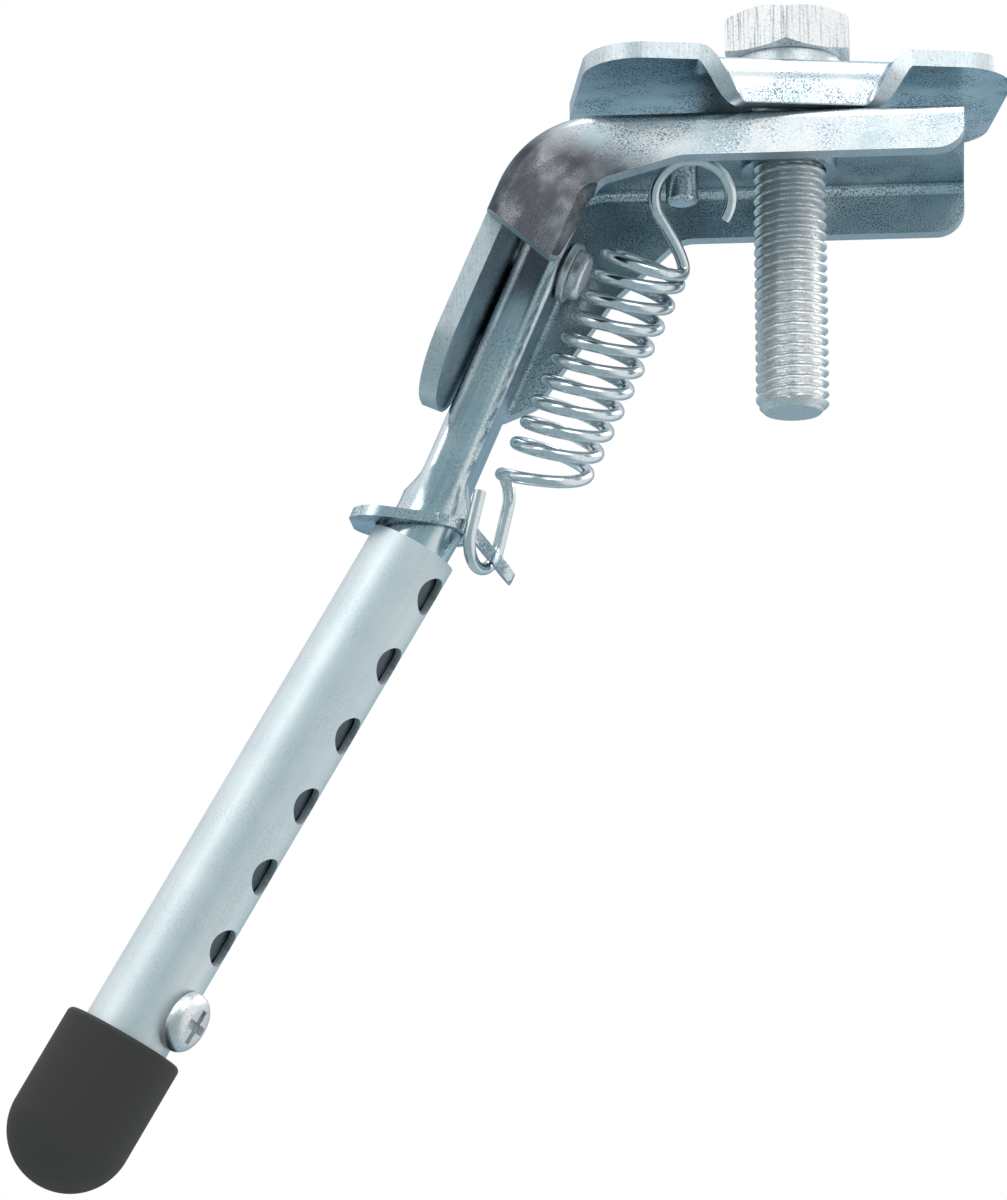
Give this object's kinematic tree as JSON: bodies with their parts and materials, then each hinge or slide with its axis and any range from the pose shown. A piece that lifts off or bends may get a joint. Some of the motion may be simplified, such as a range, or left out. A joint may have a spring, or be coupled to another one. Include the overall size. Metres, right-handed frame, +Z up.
{
  "type": "bicycle kickstand",
  "caption": "Centre-mount bicycle side stand: folded clamp bracket with bolt and top plate, sprung swinging leg with adjustable tube and rubber foot.",
  "frame": {"origin": "on the clamp bolt's axis, at the top face of the bracket's web", "axes": "+Z up along the bolt, +X away from the leg's side, +Y towards the bracket's upright back flange; the leg folds towards -Y"},
  "size_m": [0.1377, 0.0425, 0.1606],
  "materials": {
    "zinc_sheet": "bright blue zinc plating on pressed sheet",
    "zinc_bar": "bright blue zinc plating on drawn bar and tube",
    "zinc_fastener": "zinc plating",
    "spring_wire": "bright zinc-plated spring wire",
    "foot_rubber": "matte black rubber"
  },
  "bodies": {
    "bracket": {"mount_bracket": "zinc_sheet", "spring_peg": "zinc_fastener", "pivot_rivet": "zinc_fastener", "pivot_washer": "zinc_fastener", "return_spring": "spring_wire"},
    "leg": {"leg_rod": "zinc_bar", "spring_plate": "zinc_sheet", "leg_tube": "zinc_bar", "lock_screw": "zinc_fastener", "foot_cap": "foot_rubber"},
    "clamp": {"clamp_plate": "zinc_sheet", "lock_washer": "zinc_fastener", "clamp_bolt": "zinc_fastener"}
  },
  "joints": [
    {"name": "leg_swing", "type": "hinge", "parent": "bracket", "child": "leg", "pos_m": [-0.0345, 0.0065, -0.0141], "axis": [-0.9198, 0, 0.3923], "range_deg": [0, 62], "stiffness_Nm_per_rad": 0.6, "springref_deg": -34.38, "deforming": ["return_spring"]},
    {"name": "clamp_lift", "type": "slide", "parent": "bracket", "child": "clamp", "axis": [0, 0, 1], "range_m": [0, 0.02]}
  ]
}
